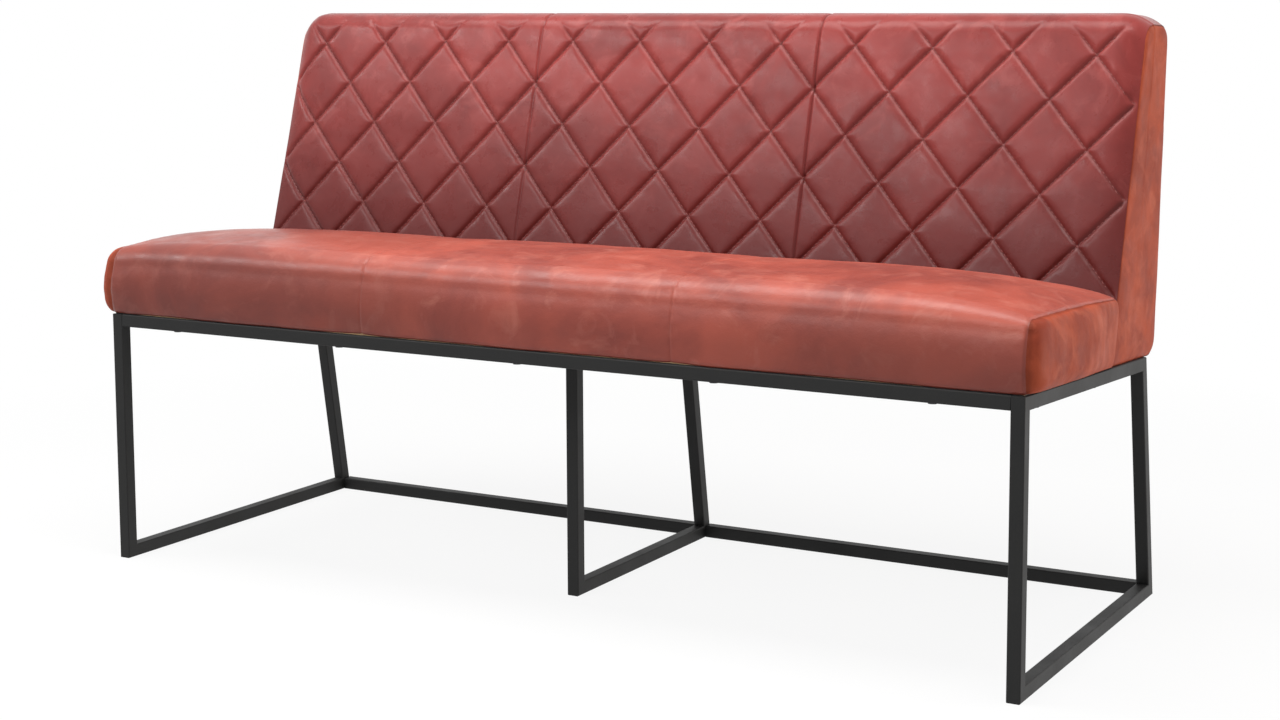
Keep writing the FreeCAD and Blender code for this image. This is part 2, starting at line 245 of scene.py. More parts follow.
def timber():
    material, tree, shader, place = new_material("raw_timber")
    rings = wave_value(tree, place, "Y", {"Scale": 22.0, "Distortion": 6.0, "Detail": 3.0,
                                          "Detail Scale": 1.4})
    set_inputs(tree, shader, {
        "Base Color": blend_colour(tree, rings, (0.48, 0.30, 0.15, 1.0), (0.62, 0.43, 0.24, 1.0)),
        "Roughness": 0.7,
        "Normal": bump(tree, rings, 0.2, ring_relief),
    })
    return material


def woven():
    material, tree, shader, place = new_material("black_cloth")
    warp, weft = [wave_value(tree, place, way, {"Scale": 320.0}) for way in ("X", "Y")]
    weave = math_node(tree, "MULTIPLY", warp, weft)
    set_inputs(tree, shader, {
        "Base Color": blend_colour(tree, weave, (0.012, 0.012, 0.013, 1.0), (0.035, 0.035, 0.037, 1.0)),
        "Roughness": 0.9,
        "Normal": bump(tree, weave, 0.3, weave_relief),
    })
    return material


def zinc():
    material, tree, shader, place = new_material("black_zinc")
    patch = noise_value(tree, place, scale=300.0, detail=3.0)
    set_inputs(tree, shader, {
        "Base Color": blend_colour(tree, patch, (0.018, 0.018, 0.019, 1.0), (0.05, 0.05, 0.052, 1.0)),
        "Metallic": 1.0,
        "Roughness": remap(tree, patch, (0.3, 0.7), (0.28, 0.45)),
    })
    return material


def thread():
    material, tree, shader, place = new_material("waxed_thread")
    twist = wave_value(tree, place, "DIAGONAL", {"Scale": 900.0, "Distortion": 2.0})
    set_inputs(tree, shader, {
        "Base Color": blend_colour(tree, twist, (0.20, 0.045, 0.040, 1.0), (0.32, 0.09, 0.08, 1.0)),
        "Roughness": 0.55,
        "Normal": bump(tree, twist, 0.3, twist_relief),
    })
    return material


def foam():
    material, tree, shader, place = new_material("cut_foam")
    pores = node(tree, "ShaderNodeTexVoronoi", {"Vector": place, "Scale": 700.0}).outputs["Distance"]
    set_inputs(tree, shader, {
        "Base Color": blend_colour(tree, pores, (0.55, 0.48, 0.3, 1.0), (0.72, 0.66, 0.46, 1.0)),
        "Roughness": 0.95,
        "Normal": bump(tree, pores, 0.4, pore_relief),
    })
    return material


materials = {
    "black_steel": powder_coat(),
    "timber": timber(),
    "black_cloth": woven(),
    "screw_steel": zinc(),
    "foam": foam(),
    "leather": leather("seat_leather", base=(0.495, 0.094, 0.058, 1.0), dark=(0.29, 0.050, 0.034, 1.0),
                       rubbed=(0.62, 0.200, 0.145, 1.0), rough=0.36, gloss=0.42, sheen=0.04,
                       cloud_scale=5.0, slack=0.35, grain=0.30),
    "end_leather": leather("end_leather", base=(0.46, 0.090, 0.043, 1.0), dark=(0.31, 0.056, 0.030, 1.0),
                           rubbed=(0.60, 0.16, 0.090, 1.0), rough=0.50, gloss=0.08, sheen=0.0,
                           cloud_scale=13.0, slack=0.35, grain=0.30),
    "rear_leather": leather("rear_leather", base=(0.32, 0.052, 0.044, 1.0), dark=(0.22, 0.034, 0.030, 1.0),
                            rubbed=(0.43, 0.105, 0.088, 1.0), rough=0.40, gloss=0.25, sheen=0.04,
                            cloud_scale=6.0, slack=0.35, grain=0.30),
    # The quilted back gets painted shade towards its foot
    "quilted_leather": leather("quilted_leather", base=(0.30, 0.044, 0.039, 1.0),
                               dark=(0.215, 0.031, 0.028, 1.0), rubbed=(0.43, 0.100, 0.090, 1.0),
                               rough=0.29, gloss=0.22, sheen=0.02, cloud_scale=7.0, slack=0.20, grain=0.18,
                               foot_painted_shade=0.95),
}
slot_of = {part["node"]: part["material_slot"] for part in frame["record"]["subparts"]}
for name, thing in nodes.items():
    thing.data.materials.clear()
    thing.data.materials.append(materials[slot_of[name]])


# Meshes
tiny = 1e-9
arc_points = 14
crown_points = 24
ripple_steps = (7.3, 3.1, 5.7)
cloth_frames = 20


def settle(points):
    """Turns points of the tilted frame on top of the steel frame into the room."""
    points = np.asarray(points, float)
    out = points.copy()
    out[..., 1] = front_y + points[..., 1] * math.cos(slope) + points[..., 2] * math.sin(slope)
    out[..., 2] = frame_height - points[..., 1] * math.sin(slope) + points[..., 2] * math.cos(slope)
    return out


def make_object(name, points, faces, material, tone=None):
    mesh = bpy.data.meshes.new(name)
    mesh.from_pydata([tuple(point) for point in points], [], [tuple(face) for face in faces])
    mesh.validate()
    mesh.polygons.foreach_set("use_smooth", [True] * len(mesh.polygons))
    if tone is not None:
        layer = mesh.attributes.new("tone", "FLOAT", "POINT")
        layer.data.foreach_set("value", np.asarray(tone, np.float32).reshape(-1))
    mesh.materials.append(material)
    made = bpy.data.objects.new(name, mesh)
    bpy.context.scene.collection.objects.link(made)
    return made


def dress(name, grid, faces, tone, replaced, slot, fill, finish=None):
    """Adds one padded leather piece of the bench in place of its plain solids."""
    piece = make_object(name, settle(grid).reshape(-1, 3), faces, materials[finish or slot], tone)
    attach(piece, "root")
    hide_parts(*replaced)


def grid_faces(columns, rows):
    """Outward quads of a grid whose rows run up the front, over the top and down the rear."""
    index = np.arange(columns * rows).reshape(columns, rows)
    quads = np.stack([index[:-1, :-1], index[1:, :-1], index[1:, 1:], index[:-1, 1:]], -1)
    return quads.reshape(-1, 4)


def grid_normals(grid):
    normal = np.cross(np.gradient(grid, axis=0), np.gradient(grid, axis=1))
    return normal / np.maximum(np.linalg.norm(normal, axis=2, keepdims=True), tiny)


def along(points, shares):
    """Points at shares of a line's length."""
    points = np.asarray(points, float)
    steps = np.r_[0.0, np.cumsum(np.linalg.norm(np.diff(points, axis=0), axis=1))]
    places = steps[-1] * np.asarray(shares)
    return np.stack([np.interp(places, steps, points[:, axis]) for axis in range(points.shape[1])], 1)


def resample(points, count):
    """Even points along a line."""
    return along(points, np.linspace(0.0, 1.0, count))


def crowd(count, ease):
    """Shares from nought to one that lie closer together towards both ends."""
    even = np.linspace(0.0, 1.0, count)
    return even - ease * np.sin(2 * np.pi * even) / (2 * np.pi)


def arc(centre, radius, start, end):
    angles = np.radians(np.linspace(start, end, arc_points))
    return [(centre[0] + radius * math.cos(angle), centre[1] + radius * math.sin(angle))
            for angle in angles]


def bow(first, last, sag, count):
    """Line between two points that bows out to its left by a sag."""
    first, last = np.asarray(first, float), np.asarray(last, float)
    run = last - first
    out = np.array([-run[1], run[0]]) / np.linalg.norm(run)
    shares = np.linspace(0.0, 1.0, count)
    return [tuple(first + run * share + out * sag * 4 * share * (1 - share)) for share in shares]


def smooth_step(value):
    value = np.clip(value, 0.0, 1.0)
    return value * value * (3 - 2 * value)


def bell(distance, reach):
    return np.exp(-(distance / reach) ** 2)


def round_over(distance, run):
    """Quarter round: nought at an edge, one at a run from it and beyond."""
    return np.sqrt(1 - (1 - np.clip(distance / run, 0.0, 1.0)) ** 2)


def ripple(grid, scale, seed):
    """Smooth noise at each point of a grid."""
    shift = Vector([seed * step for step in ripple_steps])
    flat = grid.reshape(-1, 3)
    return np.array([noise.noise(Vector(point) * scale + shift) for point in flat]).reshape(grid.shape[:-1])


def inflate(grid, held, pressure, cap):
    """Swells a sheet between its held points by cloth simulation, and gives how far each point moved."""
    columns, rows = grid.shape[:2]
    start = grid.reshape(-1, 3)
    sheet = make_object("sheet", start, grid_faces(columns, rows), materials["leather"])
    group = sheet.vertex_groups.new(name="held")
    group.add([int(index) for index in np.flatnonzero(held.reshape(-1))], 1.0, "REPLACE")
    cloth = sheet.modifiers.new("cloth", "CLOTH")
    cloth.settings.use_pressure = True
    cloth.settings.uniform_pressure_force = pressure
    cloth.settings.vertex_group_mass = group.name
    cloth.settings.effector_weights.gravity = 0.0
    cloth.collision_settings.use_collision = False
    cloth.point_cache.frame_end = cloth_frames
    for step in range(1, cloth_frames + 1):
        bpy.context.scene.frame_set(step)
    shaped = sheet.evaluated_get(bpy.context.evaluated_depsgraph_get())
    end = np.empty(start.size)
    shaped.data.vertices.foreach_get("co", end)
    bpy.data.objects.remove(sheet)
    bpy.context.scene.frame_set(1)
    moved = end.reshape(grid.shape) - grid
    reach = np.linalg.norm(moved, axis=2, keepdims=True)
    return moved * np.minimum(1.0, cap / np.maximum(reach, tiny))


def thin(count, step):
    """Every so many places of a row, with the last one."""
    return np.unique(np.r_[np.arange(0, count, step), count - 1])


def spread(moved, columns, rows, shape):
    """Brings the simulated sheet's moves to all points of the fine grid."""
    wide = np.empty((shape[0], len(rows), 3))
    fine = np.empty((shape[0], shape[1], 3))
    for axis in range(3):
        for row in range(len(rows)):
            wide[:, row, axis] = np.interp(np.arange(shape[0]), columns, moved[:, row, axis])
        for column in range(shape[0]):
            fine[column, :, axis] = np.interp(np.arange(shape[1]), rows, wide[column, :, axis])
    return fine


# Seat sizes
panel_names = ("left", "middle", "right")
panel_columns = 120
panel_ease = 0.75
seat_rows = 130
seat_sheet_step = 3
hem_radius = 0.007
hem_tuck = 0.020
hem_lift = 0.0005
hem_held_rows = 3
crevice_held_rows = 2
seat_rear_roll = 0.018
seat_start_inset = 0.003
seat_free_share = 0.08
seat_end_share = 0.15
seat_end_ease = 0.7
seat_pressure = 0.12
seat_swell_cap = 0.007
seat_seams = (-0.276, 0.258)
seam_reach = 0.0022
seam_depth = 0.0009
seam_pull_reach = 0.030
seam_pull_depth = 0.0010
end_seam_reach = 0.0030
end_seam_depth = 0.0016
seat_slack = 0.0011
seat_slack_scale = 9.0
seat_crease = 0.0004
seat_crease_scale = 26.0
pucker_scale = 75.0
pucker_stretch = (0.3, 1.0, 1.0)
seam_pucker = 0.0005
end_pucker = 0.0008

# Tones of the leather: the plain tone lies in the middle, rubbed spots above it (along the seat's roll
# partly a painted highlight) and painted shade below
plain_tone = 0.5
seam_shade = 0.06
end_seam_shade = 0.30
roll_rub_and_highlight = 0.14
roll_rub_and_highlight_place = 0.27
roll_rub_and_highlight_reach = 0.055
painted_left_shades = ({"shade": 0.31, "start": 0.02, "run": 0.35}, {"shade": 0.12, "start": 0.45, "run": 0.25})
front_shade = 0.25
front_shade_end = 0.13
front_shade_ease = 0.08
front_right_shade = {"shade": 0.20, "start": 0.25, "run": 0.35}
side_seam_shade = 0.45
seam_shade_reach = 0.6 * seam_reach
end_fold_reach = 0.5 * end_seam_reach
end_shade_reach = 0.8 * end_seam_reach


def seat_profile(x):
    """Seat outline at one station, from under the front hem over the top to the crevice at the back."""
    end = left_end if x < 0 else right_end
    share = min(abs(x) / seat_half, 1.0) ** seat_crown_power
    top = seat_thickness - end["drop"] * share
    roll = seat_roll - end["roll_drop"] * share
    rise = seat_top_rise - end["rise_drop"] * share
    rear_top = seat_depth + (top - seat_rear_roll) * back_recline
    line = [(hem_tuck, hem_lift)]
    line += arc((hem_radius, hem_radius), hem_radius, 270, 180)
    line += bow((0.0, hem_radius), (0.0, top - roll), seat_front_bulge, arc_points)[1:]
    line += arc((roll, top - roll), roll, 180, 90)[1:]
    line += bow((roll, top), (rear_top - seat_rear_roll, top), rise, crown_points)[1:]
    line += arc((rear_top - seat_rear_roll, top - seat_rear_roll), seat_rear_roll, 90, 0)[1:]
    line.append((seat_depth + hem_lift * back_recline, hem_lift))
    return resample(line, seat_rows)


panel_edges = np.array((-seat_half, *seat_seams, seat_half))
panel_shares = crowd(panel_columns, panel_ease)
panel_places = [low + (high - low) * panel_shares for low, high in zip(panel_edges, panel_edges[1:])]
seat_x = np.concatenate([panel_places[0], panel_places[1][1:], panel_places[2][1:]])
seat_base = np.array([[(x, *spot) for spot in seat_profile(x)] for x in seat_x])
seat_normal = grid_normals(seat_base)

# Seat leather, swollen between the hem, the seams and the ends
seat_sheet_columns = thin(len(seat_x), seat_sheet_step)
seat_sheet_rows = thin(seat_rows, seat_sheet_step)
row_share = np.linspace(0.0, 1.0, seat_rows)
free = smooth_step(row_share / seat_free_share) * smooth_step((1.0 - row_share) / seat_free_share)
near_end = smooth_step((np.abs(seat_x) / seat_half - (1 - seat_end_share)) / seat_end_share)
start_inset = seat_start_inset * np.outer(1 - seat_end_ease * near_end, free)
seat_small = seat_base - seat_normal * start_inset[..., None]
seat_sheet = seat_small[np.ix_(seat_sheet_columns, seat_sheet_rows)]
sheet_x = seat_x[seat_sheet_columns]
seat_held = np.zeros(seat_sheet.shape[:2], bool)
seat_held[:, :hem_held_rows] = True
seat_held[:, -crevice_held_rows:] = True
seat_held[[0, -1]] = True
for place in seat_seams:
    seat_held[np.abs(sheet_x - place).argmin()] = True
seat_moved = inflate(seat_sheet, seat_held, seat_pressure, seat_swell_cap)
seat_grid = seat_small + spread(seat_moved, seat_sheet_columns, seat_sheet_rows, seat_base.shape[:2])

# Seat seams and slack
x = seat_base[..., 0]
seat_sink = -seat_slack * ripple(seat_base, seat_slack_scale, seed=1)
seat_sink -= seat_crease * ripple(seat_base, seat_crease_scale, seed=2)
# Mask for painted shade along the seams and the seat's ends
seat_seam_shade_mask = np.zeros_like(x)
pucker = ripple(seat_base * pucker_stretch, pucker_scale, seed=3)
for place in seat_seams:
    gap = np.abs(x - place)
    seat_sink += seam_depth * bell(gap, seam_reach) + seam_pull_depth * bell(gap, seam_pull_reach)
    seat_sink += seam_pucker * pucker * bell(gap, seam_pull_reach / 2)
    seat_seam_shade_mask = np.maximum(seat_seam_shade_mask, bell(gap, seam_shade_reach))
gap = seat_half - np.abs(x)
seat_sink += end_seam_depth * bell(gap, end_seam_reach)
seat_sink += end_pucker * pucker * bell(gap, seam_pull_reach)
seat_seam_shade_mask = np.maximum(seat_seam_shade_mask, bell(gap, end_fold_reach))
seat_grid = seat_grid - seat_normal * seat_sink[..., None]

# Seat tones, with painted shade at the seams, on the left part and on the front face
seat_tone = plain_tone - seam_shade * seat_seam_shade_mask - end_seam_shade * bell(gap, end_shade_reach)
# Lighter band along the front roll: rubbed wear, and partly a painted highlight
seat_tone += roll_rub_and_highlight * bell(row_share - roll_rub_and_highlight_place, roll_rub_and_highlight_reach)[None, :]
# Painted shade on the seat's left part, where less light falls
for left in painted_left_shades:
    seat_tone -= left["shade"] * smooth_step((-left["start"] - x) / left["run"])
# Painted shade on the seat's front face, more towards its right end
front_part = (1 - smooth_step((row_share - front_shade_end) / front_shade_ease))[None, :]
right_part = smooth_step((x - front_right_shade["start"]) / front_right_shade["run"])
seat_tone -= front_part * (front_shade + front_right_shade["shade"] * right_part)

for number, name in enumerate(panel_names):
    first = number * (panel_columns - 1)
    keep = slice(first, first + panel_columns)
    replaced = ["seat_cover_" + name] + (["seat_foam"] if name == "middle" else [])
    faces = grid_faces(panel_columns, seat_rows)
    dress("seat_panel_" + name, seat_grid[keep], faces, seat_tone[keep], replaced, "leather", fill=0.9)

# Seat ends
patch_columns = 150
patch_rows = 110
patch_ease = 0.93
patch_slack = 0.0012
patch_slack_scale = 15.0
patch_slack_ease = 0.02
patch_rear_run = 0.20
crevice_points = 40
seat_end_runs = (0.030, 0.024, 0.046)
seat_end_rear_share = 0.3


def side_patch(rim, sign, bulge, runs, rear_share, seed):
    """Side panel that fills a closed rim, bulged outwards between rounded edges, with its seam drawn in and
    painted shade along it.
    """
    low, high = rim.min(axis=0), rim.max(axis=0)
    width, tall = (high - low)[1:]
    shares = (rim[:, 1:] - low[1:]) / (width, tall) - 0.5
    first = int(np.argmin(shares @ (1, 1)))
    rim = np.roll(rim, -first, axis=0)
    shares = np.roll(shares, -first, axis=0)
    marks = [0] + [int(np.argmax(shares @ way)) for way in ((-1, 1), (1, 1), (1, -1))] + [len(rim)]
    rim = np.concatenate([rim, rim[:1]])
    front, top, rear, foot = [rim[start:end + 1] for start, end in zip(marks, marks[1:])]
    across, up = crowd(patch_columns, patch_ease), crowd(patch_rows, patch_ease)
    front, rear = along(front, up), along(rear[::-1], up)
    top, foot = along(top, across), along(foot[::-1], across)
    over, rise = across[:, None, None], up[None, :, None]
    grid = (1 - over) * front[None] + over * rear[None] + (1 - rise) * foot[:, None] + rise * top[:, None]
    grid -= (1 - over) * ((1 - rise) * foot[0] + rise * top[0])
    grid -= over * ((1 - rise) * foot[-1] + rise * top[-1])
    over, rise = np.broadcast_arrays(across[:, None], up[None, :])
    insets = np.array((over * width, (1 - over) * width, rise * tall, (1 - rise) * tall))
    swell = bulge * (rear_share + (1 - rear_share) * smooth_step(insets[1] / patch_rear_run))
    for inset, run in zip(insets, runs):
        swell = swell * round_over(inset, run)
    near = insets.min(axis=0)
    swell -= end_seam_depth * np.exp(-near / end_seam_reach)
    swell += patch_slack * ripple(grid, patch_slack_scale, seed) * smooth_step(near / patch_slack_ease)
    grid[..., 0] += sign * swell
    faces = grid_faces(patch_columns, patch_rows)
    # Painted shade along the seam round the panel's rim
    tone = plain_tone - side_seam_shade * bell(near, end_shade_reach)
    return grid, faces if sign > 0 else faces[:, ::-1], tone


for name, sign, end in (("left", -1, left_end), ("right", 1, right_end)):
    rim = seat_grid[0 if sign < 0 else -1]
    rim = np.concatenate([rim, np.linspace(rim[-1], rim[0], crevice_points)[1:-1]])
    runs = (end["front_run"], *seat_end_runs)
    patch = side_patch(rim, sign, end["bulge"], runs, seat_end_rear_share, seed=5)
    dress("seat_end_" + name, *patch, ["seat_end_panel_" + name], "end_leather", fill=0.8)

# Back sizes
back_columns = 841
back_front_rows = 272
back_rest_rows = 220
back_sheet_step = 4
back_edge_columns = 24
back_edge_crowd = 1.6
back_start_inset = 0.0015
back_pressure = 1.6
back_swell_cap = 0.0032
channel_depth = 0.0046
channel_reach = 0.0036
channel_power = 1.15
channel_hold = 0.0040
channel_hold_fade = 0.3
channel_shade = 0.40
channel_shade_reach = 0.5 * channel_reach
quilt_fade_start = 0.048
quilt_fade_run = 0.046
quilt_side_run = 0.008
quilt_shift = -0.003
quilt_pull = 0.0006
quilt_pull_scale = 55.0
quilt_pull_reach = 0.012
quilt_slack = 0.0008
quilt_slack_scale = 11.0
hidden_foot = 0.070
bow_rise = 0.0045
bow_curve = 0.024
bow_middle = -0.10
back_seam_depth = 0.0024
back_seam_reach = 0.0022
back_seam_shade = 0.45
back_seam_shade_reach = 0.6 * back_seam_reach
slant_height = back_height * slant_factor
column_pitch = 2 * back_half / quilt_columns
even_row = slant_height - quilt_top_margin - quilt_row_pitch
back_seams = (-back_half / 3, back_half / 3)


def edge_drop(x):
    run = np.clip((back_half - abs(x)) / back_edge_run, 0.0, 1.0)
    return back_edge_round * (1 - run) ** back_edge_power


def rear_face(height):
    return seat_depth + back_foot_depth + height * back_rear_lean


def back_profile(x):
    """Back outline at one station: front plane and top roll, then the rear and foot."""
    drop = edge_drop(x)
    top = back_height - drop
    front_foot = (seat_depth, 0.0)
    lean = math.atan(back_recline)
    start = top - back_front_roll * (1 - math.sin(lean))
    front_end = (seat_depth + drop + start * back_recline, start)
    centre = (front_end[0] + back_front_roll * math.cos(lean), start - back_front_roll * math.sin(lean))
    front = [front_foot] + arc(centre, back_front_roll, 180 - math.degrees(lean), 90)
    rear_top = (rear_face(top - back_rear_roll) - back_rear_roll, top - back_rear_roll)
    rest = [front[-1]] + arc(rear_top, back_rear_roll, 90, 0)
    rest.append((rear_face(back_foot_roll), back_foot_roll))
    rest += arc((rear_face(back_foot_roll) - back_foot_roll, back_foot_roll), back_foot_roll, 0, -90)
    rest.append(front_foot)
    return resample(front, back_front_rows), resample(rest, back_rest_rows)


edge_x = back_half - back_edge_run * np.linspace(0.0, 1.0, back_edge_columns) ** back_edge_crowd
inner_x = np.linspace(-edge_x[-1], edge_x[-1], back_columns)
back_x = np.r_[-edge_x[:-1], inner_x, edge_x[:-1][::-1]]
fronts, rests = zip(*[back_profile(x) for x in back_x])
front_base = np.array([[(x, *spot) for spot in line] for x, line in zip(back_x, fronts)])
rest_base = np.array([[(x, *spot) for spot in line] for x, line in zip(back_x, rests)])
front_normal = grid_normals(front_base)
rest_normal = grid_normals(rest_base)


def row_bow(x):
    """How far the rows of channels lie above their even places: they bow up towards the middle."""
    return bow_rise - bow_curve * (x - bow_middle) ** 2


def channel_gap(grid):
    """Distance to the nearest stitched channel, and how much of the quilting is left there."""
    up = grid[..., 2] * slant_factor
    rise = (up - row_bow(grid[..., 0]) - even_row) / (2 * quilt_row_pitch)
    across = (grid[..., 0] - quilt_shift) / column_pitch
    slant = 1.0 / math.hypot(1.0 / column_pitch, 0.5 / quilt_row_pitch)
    gaps = [np.abs(value - np.round(value)) * slant for value in (across + rise, across - rise)]
    fade = 1 - smooth_step((up - (slant_height - quilt_fade_start)) / quilt_fade_run)
    fade = fade * smooth_step((back_half - np.abs(grid[..., 0])) / quilt_side_run)
    return np.minimum(*gaps), fade * smooth_step(up / hidden_foot)


# Quilted leather, swollen between the stitched channels
gap, fade = channel_gap(front_base)
back_sheet_columns = thin(len(back_x), back_sheet_step)
back_sheet_rows = thin(back_front_rows, back_sheet_step)
front_inset = back_start_inset * smooth_step(front_base[..., 2] / hidden_foot)
front_small = front_base - front_normal * front_inset[..., None]
front_sheet = front_small[np.ix_(back_sheet_columns, back_sheet_rows)]
sheet_gap, sheet_fade = channel_gap(front_sheet)
front_held = (sheet_gap < channel_hold) & (sheet_fade > channel_hold_fade)
front_held[[0, -1]] = True
front_held[:, [0, -1]] = True
front_moved = inflate(front_sheet, front_held, back_pressure, back_swell_cap)
front_swell = spread(front_moved, back_sheet_columns, back_sheet_rows, front_base.shape[:2])
front_grid = front_small + front_swell * fade[..., None]

# Channels, seams and fine pulls towards the stitches, with painted shade in the channels and seams
x = front_base[..., 0]
height = -channel_depth * np.exp(-(gap / channel_reach) ** channel_power) * fade
height += quilt_pull * ripple(front_base, quilt_pull_scale, seed=11) * bell(gap, quilt_pull_reach)
height += quilt_slack * ripple(front_base, quilt_slack_scale, seed=12)
# Painted shade in the stitched channels and in the seams' grooves
front_tone = plain_tone - channel_shade * bell(gap, channel_shade_reach) * fade
for place in back_seams:
    height -= back_seam_depth * bell(x - place, back_seam_reach)
    front_tone -= back_seam_shade * bell(x - place, back_seam_shade_reach)
front_grid = front_grid + front_normal * height[..., None]

# Plain rear and foot of the back
seam_row = 60
seam_rows = 0.7
top_ease_rows = 24
foot_ease_rows = 16
rear_slack = 0.0012
rear_slack_scale = 10.0
rear_seam_depth = 0.0016
rear_step = 2
rest_rows = np.arange(back_rest_rows)
rear_seam = bell(rest_rows - seam_row, seam_rows)[None, :]
ease = smooth_step(rest_rows / top_ease_rows)
ease *= smooth_step((back_rest_rows - 1 - rest_rows) / foot_ease_rows)
rest_lift = rear_slack * ripple(rest_base, rear_slack_scale, seed=21) * ease[None, :]
for place in back_seams:
    line = bell(rest_base[..., 0] - place, back_seam_reach)
    rest_lift -= back_seam_depth * line * (rest_rows < seam_row)[None, :]
rest_lift -= rear_seam_depth * rear_seam
rest_grid = rest_base + rest_normal * rest_lift[..., None]
rest_grid[:, 0] = front_grid[:, -1]
rest_grid[:, -1] = front_grid[:, 0]
# Painted shade along the sunk seam at the back's rear
rest_tone = np.full(rest_grid.shape[:2], plain_tone) - back_seam_shade * rear_seam

seam_tolerance = 1e-6
back_edges = (-back_half, *back_seams, back_half)
for name, low, high in zip(panel_names, back_edges, back_edges[1:]):
    keep = np.flatnonzero((back_x >= low - seam_tolerance) & (back_x <= high + seam_tolerance))
    keep = np.arange(max(keep[0] - 1, 0), keep[-1] + 1)
    part = np.concatenate([front_grid[keep], rest_grid[keep][:, 1:seam_row + 1]], 1)
    tone = np.concatenate([front_tone[keep], rest_tone[keep][:, 1:seam_row + 1]], 1)
    replaced = ["back_cover_" + name] + (["back_foam"] if name == "middle" else [])
    faces = grid_faces(*part.shape[:2])
    dress("back_quilt_" + name, part, faces, tone, replaced, "quilted_leather", fill=0.85)

part = rest_grid[::rear_step, seam_row:]
tone = rest_tone[::rear_step, seam_row:]
faces = grid_faces(*part.shape[:2])
dress("back_rear_skin", part, faces, tone, ["back_rear_cover"], "leather", fill=0.9, finish="rear_leather")

# Sides of the back
side_bulge = 0.004
side_runs = (0.030, 0.030, 0.030, 0.030)
side_rear_share = 1.0
for name, sign in (("left", -1), ("right", 1)):
    end = 0 if sign < 0 else -1
    rim = np.concatenate([front_grid[end], rest_grid[end][1:-1]])
    patch = side_patch(rim, sign, side_bulge, side_runs, side_rear_share, seed=31)
    dress("back_side_" + name, *patch, ["back_side_panel_" + name], "end_leather", fill=0.9)

# Stitches along the channels
stitch_length = 0.0058
stitch_step = 0.0082
thread_radius = 0.00055
stitch_side_margin = 0.014
stitch_top_margin = 0.038
stitch_foot_margin = 0.060
bow_rounds = 3
ring_sides = 6
ring_shares = (0.0, 0.25, 0.75, 1.0)
ring_sizes = (0.45, 1.0, 1.0, 0.45)
ring_lifts = (-0.6, 0.55, 0.55, -0.6)


def on_quilt(across, up):
    """Point and outward direction of the quilted front at a place across and up its slant."""
    middle_ups = front_base[len(back_x) // 2, :, 2] * slant_factor
    column = np.interp(across, back_x, np.arange(len(back_x)))
    row = np.interp(up, middle_ups, np.arange(back_front_rows))
    low_column, low_row = np.floor(column).astype(int), np.floor(row).astype(int)
    over, rise = (column - low_column)[:, None], (row - low_row)[:, None]
    lower, upper = [front_grid[low_column, level] * (1 - over) + front_grid[low_column + 1, level] * over
                    for level in (low_row, low_row + 1)]
    return lower * (1 - rise) + upper * rise, front_normal[low_column, low_row]


starts, ends = [], []
slant_rise = 2 * quilt_row_pitch
slant_length = math.hypot(column_pitch, slant_rise)
step_up = stitch_step * slant_rise / slant_length
ups = np.arange(stitch_foot_margin, slant_height - stitch_top_margin, step_up)
for way in (-1, 1):
    for line in range(-quilt_columns, quilt_columns + 1):
        for share, spots in ((0.0, starts), (stitch_length / slant_length, ends)):
            level = ups + share * slant_rise
            across = np.zeros_like(level)
            for step in range(bow_rounds):
                rise = (level - row_bow(across) - even_row) / slant_rise
                across = (line - way * rise) * column_pitch + quilt_shift
            spots.append(np.stack([across, level], 1))
starts, ends = np.concatenate(starts), np.concatenate(ends)
inside = np.maximum(np.abs(starts[:, 0]), np.abs(ends[:, 0])) < back_half - stitch_side_margin
starts, out = on_quilt(*starts[inside].T)
ends = on_quilt(*ends[inside].T)[0]
run = ends - starts
side = np.cross(run, out)
side /= np.linalg.norm(side, axis=1, keepdims=True)
turns = np.arange(ring_sides) * 2 * np.pi / ring_sides
spokes = side[:, None] * np.cos(turns)[None, :, None] + out[:, None] * np.sin(turns)[None, :, None]
rings = []
for share, size, lift in zip(ring_shares, ring_sizes, ring_lifts):
    middle = starts + run * share + out * thread_radius * lift
    rings.append(middle[:, None] + spokes * thread_radius * size)
points = np.stack(rings, 1)
index = np.arange(points[..., 0].size).reshape(points.shape[:3])
around = np.roll(index, -1, axis=2)
quads = np.stack([index[:, :-1], around[:, :-1], around[:, 1:], index[:, 1:]], -1).reshape(-1, 4)
stitches = make_object("quilt_stitches", settle(points).reshape(-1, 3), quads, thread())
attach(stitches, "root")

# Floor, white where it is seen and grey in the light that it throws back
floor_reach = 14.0
floor_near = 1.0
floor_far = 2.2
floor_near_glow = 0.90
floor_grey = 0.5
floor_white = 0.95
white = (1.0, 1.0, 1.0, 1.0)
floor_corners = [(-floor_reach, -floor_reach, 0.0), (floor_reach, -floor_reach, 0.0),
                 (floor_reach, floor_reach, 0.0), (-floor_reach, floor_reach, 0.0)]
floor_material = bpy.data.materials.new("pale_floor")
floor_material.use_nodes = True
tree = floor_material.node_tree
tree.nodes.clear()
seen = seen_directly(tree)
place = node(tree, "ShaderNodeTexCoord").outputs["Object"]
far = node(tree, "ShaderNodeVectorMath", {0: place}, operation="LENGTH").outputs["Value"]
glow_share = remap(tree, far, (floor_near, floor_far), (floor_near_glow, 1.0))
glow = math_node(tree, "MULTIPLY", seen, glow_share)
grey = remap(tree, seen, (0.0, 1.0), (floor_grey, floor_white))
shade = node(tree, "ShaderNodeCombineColor", {"Red": grey, "Green": grey, "Blue": grey})
plain = node(tree, "ShaderNodeBsdfDiffuse", {"Color": shade.outputs[0]})
bright = node(tree, "ShaderNodeEmission", {"Color": white, "Strength": 1.0})
mixed = node(tree, "ShaderNodeMixShader", {"Fac": glow, 1: plain.outputs[0], 2: bright.outputs[0]})
node(tree, "ShaderNodeOutputMaterial", {"Surface": mixed.outputs[0]})
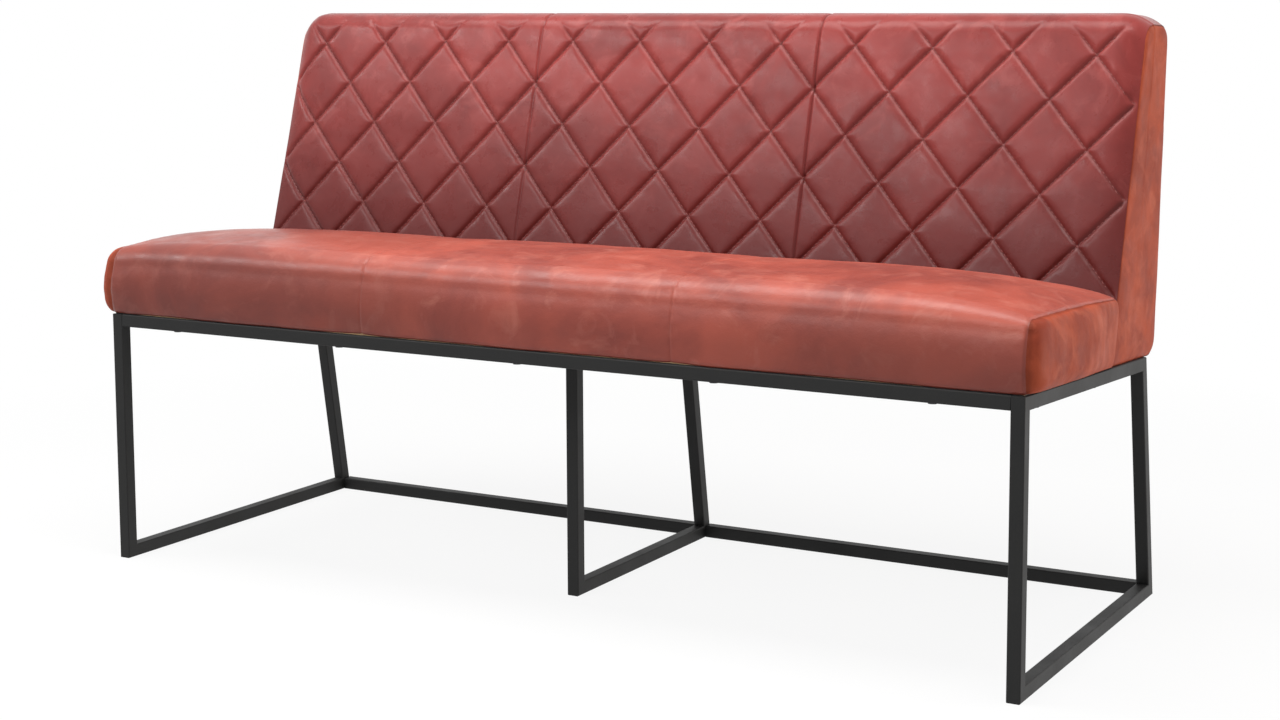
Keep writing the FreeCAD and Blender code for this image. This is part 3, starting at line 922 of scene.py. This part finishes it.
floor = make_object("studio_floor", floor_corners, [(0, 1, 2, 3)], floor_material)

# World, white where it is seen and dim as a light
world_light = 0.16
world = bpy.data.worlds.new("studio")
bpy.context.scene.world = world
world.use_nodes = True
tree = world.node_tree
tree.nodes.clear()
strength = remap(tree, seen_directly(tree), (0.0, 1.0), (world_light, 1.0))
sky = node(tree, "ShaderNodeBackground", {"Color": white, "Strength": strength})
node(tree, "ShaderNodeOutputWorld", {"Surface": sky.outputs[0]})

# Lights
lights = {
    "top_light": {"place": (0.0, -0.5, 2.8), "target": (0.0, -0.1, 0.5), "size": (3.6, 1.2),
                  "power": 84.0, "colour": (1.0, 0.985, 0.97)},
    "front_key": {"place": (0.3, -4.6, 4.2), "target": (0.0, 0.0, 0.6), "size": (2.0, 2.0),
                  "power": 20.0, "colour": (1.0, 0.99, 0.98)},
    "right_light": {"place": (3.0, 1.1, 0.5), "target": (0.77, 0.05, 0.5), "size": (1.2, 0.9),
                    "power": 32.0, "colour": (1.0, 0.95, 0.90)},
    "sheen_light": {"place": (-2.9, -3.2, 3.15), "target": (-0.2, 0.2, 0.75), "size": (5.0, 0.6),
                    "power": 100.0, "colour": (0.97, 0.99, 1.0)},
}


def softbox(name, place, target, size, power, colour):
    light = bpy.data.lights.new(name, "AREA")
    light.shape = "RECTANGLE"
    light.size, light.size_y = size
    light.energy = power
    light.color = colour
    made = bpy.data.objects.new(name, light)
    made.location = place
    made.visible_camera = False
    made.rotation_mode = "QUATERNION"
    made.rotation_quaternion = (Vector(target) - Vector(place)).to_track_quat("-Z", "Y")
    bpy.context.scene.collection.objects.link(made)


for name, values in lights.items():
    softbox(name, **values)

# Camera fitted to the photograph's frame edges, in pixels, degrees and metres from the front legs' front
focal_pixels = 2152.25
image_width = 1280.0
principal_y = 250.0
image_middle_y = 360.0
sensor_width = 36.0
camera_yaw = -29.625
camera_pitch = -6.703
camera_roll = -0.244
camera_place = (1.68265, -2.58600, 0.91217)
camera_data = bpy.data.cameras.new("photo_camera")
camera = bpy.data.objects.new("photo_camera", camera_data)
bpy.context.scene.collection.objects.link(camera)
camera_data.sensor_width = sensor_width
camera_data.lens = focal_pixels / image_width * sensor_width
camera_data.shift_y = (principal_y - image_middle_y) / image_width
yaw, pitch, roll = [math.radians(angle) for angle in (camera_yaw, camera_pitch, camera_roll)]
forward = Vector((math.sin(yaw) * math.cos(pitch), math.cos(yaw) * math.cos(pitch), math.sin(pitch)))
right = Vector((math.cos(yaw), -math.sin(yaw), 0.0))
up = right.cross(forward)
right, up = right * math.cos(roll) + up * math.sin(roll), up * math.cos(roll) - right * math.sin(roll)
camera.matrix_world = Matrix((right, up, -forward)).transposed().to_4x4()
camera.location = (camera_place[0], camera_place[1] + front_y, camera_place[2])
bpy.context.scene.camera = camera
bpy.context.scene.view_settings.view_transform = "Standard"

bpy.context.view_layer.update()
